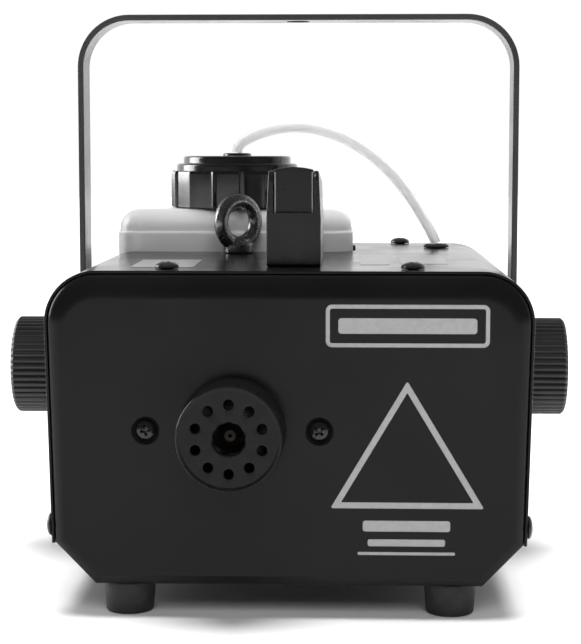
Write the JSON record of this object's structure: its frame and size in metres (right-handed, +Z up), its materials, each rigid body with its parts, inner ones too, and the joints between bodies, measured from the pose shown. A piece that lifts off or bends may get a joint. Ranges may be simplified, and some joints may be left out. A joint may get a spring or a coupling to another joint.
{
  "type": "fog machine",
  "caption": "Compact fog machine with a folded sheet-metal body, bail handle with clamp knobs, lift-out fluid tank, pump, heater and a round outlet.",
  "frame": {"origin": "on the floor under the middle of the overall box, midway between the two knobs' outer faces", "axes": "+X to the right seen from the front, across the knobs; +Y towards the rear panel; +Z up; the fog leaves along -Y"},
  "size_m": [0.2584, 0.2415, 0.251],
  "materials": {
    "powder_coat": "fine satin black powder coat",
    "black_plastic": "satin black moulding",
    "knob_plastic": "satin, fluted",
    "rubber": "matte",
    "tank_plastic": "translucent white blow moulding",
    "clear_hose": "translucent soft hose",
    "dark_steel": "black oxide",
    "zinc_steel": "zinc plated",
    "aluminium": "as cast",
    "brass": "turned",
    "copper": "drawn copper tube",
    "coil_wrap": "wound coil in tape",
    "board_green": "solder mask",
    "loom": "sleeved wires",
    "white_sleeve": "glass-fibre sleeve and ceramic",
    "switch_red": "translucent red"
  },
  "bodies": {
    "machine": {"chassis": "powder_coat", "top_cover": "powder_coat", "nozzle_cup": "powder_coat", "nozzle_tube": "brass", "heater_block": "aluminium", "heater_bracket": "zinc_steel", "heater_stand": "zinc_steel", "thermostat": "black_plastic", "pump_coil": "coil_wrap", "pump_bracket": "zinc_steel", "pump_barrel": "brass", "pressure_pipe": "copper", "feed_hose": "clear_hose", "board_carrier": "black_plastic", "control_board": "board_green", "relay": "black_plastic", "terminal_block": "white_sleeve", "power_inlet": "black_plastic", "switch_housing": "black_plastic", "remote_socket": "black_plastic", "mains_loom": "loom", "heater_leads": "white_sleeve", "friction_washer_left": "loom", "friction_washer_right": "loom", "pivot_nut_left": "zinc_steel", "pivot_nut_right": "zinc_steel", "tank_shelf": "zinc_steel", "tank_hose": "clear_hose", "hose_grommet": "rubber", "safety_eyebolt": "dark_steel", "eyebolt_nut": "zinc_steel", "remote_holder": "black_plastic", "top_screw_left_front": "dark_steel", "side_screw_left_front": "dark_steel", "foot_left_front": "rubber", "top_screw_left_rear": "dark_steel", "side_screw_left_rear": "dark_steel", "foot_left_rear": "rubber", "top_screw_right_front": "dark_steel", "side_screw_right_front": "dark_steel", "foot_right_front": "rubber", "top_screw_right_rear": "dark_steel", "side_screw_right_rear": "dark_steel", "foot_right_rear": "rubber", "heater_screw_left": "dark_steel", "heater_screw_right": "dark_steel"},
    "handle": {"handle": "powder_coat"},
    "knob_left": {"knob_left": "knob_plastic", "stud_left": "zinc_steel", "knob_spacer_left": "rubber"},
    "knob_right": {"knob_right": "knob_plastic", "stud_right": "zinc_steel"},
    "tank": {"tank": "tank_plastic", "pickup_tube": "clear_hose"},
    "cap": {"tank_cap": "black_plastic", "cap_seal": "rubber"},
    "remote": {"remote_case": "black_plastic"},
    "remote_button": {"remote_button": "black_plastic"},
    "rocker": {"switch_rocker": "switch_red"},
    "plunger": {"pump_plunger": "zinc_steel"}
  },
  "joints": [
    {"name": "handle_tilt", "type": "hinge", "parent": "machine", "child": "handle", "pos_m": [0.00415, 0.032, 0.0875], "axis": [1, 0, 0], "range_deg": [-115, 115]},
    {"name": "knob_left_turn", "type": "hinge", "parent": "machine", "child": "knob_left", "pos_m": [-0.11585, 0.032, 0.0875], "axis": [1, 0, 0], "continuous": true},
    {"name": "knob_right_turn", "type": "hinge", "parent": "machine", "child": "knob_right", "pos_m": [0.11615, 0.032, 0.0875], "axis": [1, 0, 0], "continuous": true},
    {"name": "tank_lift", "type": "slide", "parent": "machine", "child": "tank", "axis": [0, 0, 1], "range_m": [0, 0.045], "deforming": ["tank_hose"]},
    {"name": "cap_turn", "type": "hinge", "parent": "tank", "child": "cap", "pos_m": [-0.02685, 0.068, 0.171], "axis": [0, 0, 1], "continuous": true},
    {"name": "remote_lift", "type": "slide", "parent": "machine", "child": "remote", "axis": [0, 0, 1], "range_m": [0, 0.028]},
    {"name": "remote_press", "type": "slide", "parent": "remote", "child": "remote_button", "axis": [0, 0, -1], "range_m": [0, 0.001], "stiffness_N_per_m": 400, "springref_m": -0.001},
    {"name": "power_rock", "type": "hinge", "parent": "machine", "child": "rocker", "pos_m": [0.08115, 0.116, 0.081], "axis": [0, 0, 1], "range_deg": [0, 18]},
    {"name": "pump_stroke", "type": "slide", "parent": "machine", "child": "plunger", "axis": [0, 0, 1], "range_m": [-0.0015, 0.0015], "stiffness_N_per_m": 2000}
  ]
}
